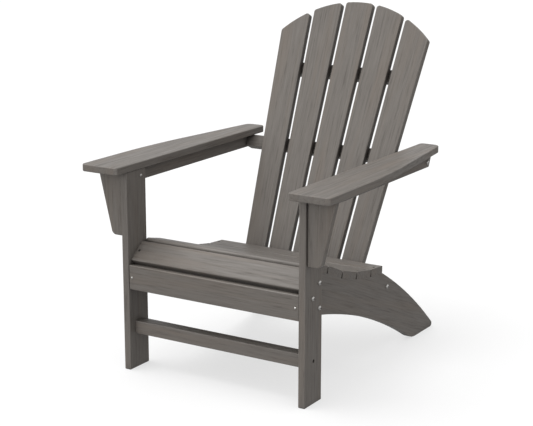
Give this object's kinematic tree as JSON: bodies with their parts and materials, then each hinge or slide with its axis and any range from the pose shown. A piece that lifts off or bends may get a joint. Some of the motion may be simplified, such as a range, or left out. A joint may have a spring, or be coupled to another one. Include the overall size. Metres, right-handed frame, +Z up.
{
  "type": "adirondack chair",
  "caption": "Low garden armchair of flat boards: fanned slatted back with an arched top, dished slatted seat, wide tapering arms and side boards that run down as rear feet.",
  "frame": {"origin": "on the floor, under the middle of the chair's box", "axes": "+Z up; the sitter faces -Y; +X is to the right of someone who stands in front and looks at the chair"},
  "size_m": [0.797, 0.9035, 0.996],
  "materials": {
    "lumber": "solid plastic lumber, grey-brown, fine embossed grain, satin",
    "stainless": "plain stainless steel, button heads with a hexagon socket",
    "coated_screws": "dark coated steel screws, satin"
  },
  "bodies": {
    "root": {"apron_screws": "stainless", "arm_bracket_left": "lumber", "arm_bracket_right": "lumber", "arm_left": "lumber", "arm_rail_bolts": "stainless", "arm_rail_left": "lumber", "arm_rail_right": "lumber", "arm_right": "lumber", "arm_screws": "coated_screws", "back_slat_1": "lumber", "back_slat_2": "lumber", "back_slat_3": "lumber", "back_slat_4": "lumber", "back_slat_5": "lumber", "back_slat_screws": "coated_screws", "bracket_screws": "coated_screws", "front_apron": "lumber", "front_leg_left": "lumber", "front_leg_right": "lumber", "front_stretcher": "lumber", "leg_bolt_nuts": "stainless", "leg_bolt_washers": "stainless", "leg_bolts": "stainless", "leg_top_screws": "stainless", "lower_back_rail": "lumber", "lower_rail_bolts": "stainless", "middle_back_rail": "lumber", "seat_slat_1": "lumber", "seat_slat_2": "lumber", "seat_slat_3": "lumber", "seat_slat_4": "lumber", "seat_slat_5": "lumber", "seat_slat_6": "lumber", "seat_slat_screws": "coated_screws", "side_board_left": "lumber", "side_board_right": "lumber", "stretcher_screws": "coated_screws", "upper_back_rail": "lumber"}
  },
  "joints": []
}
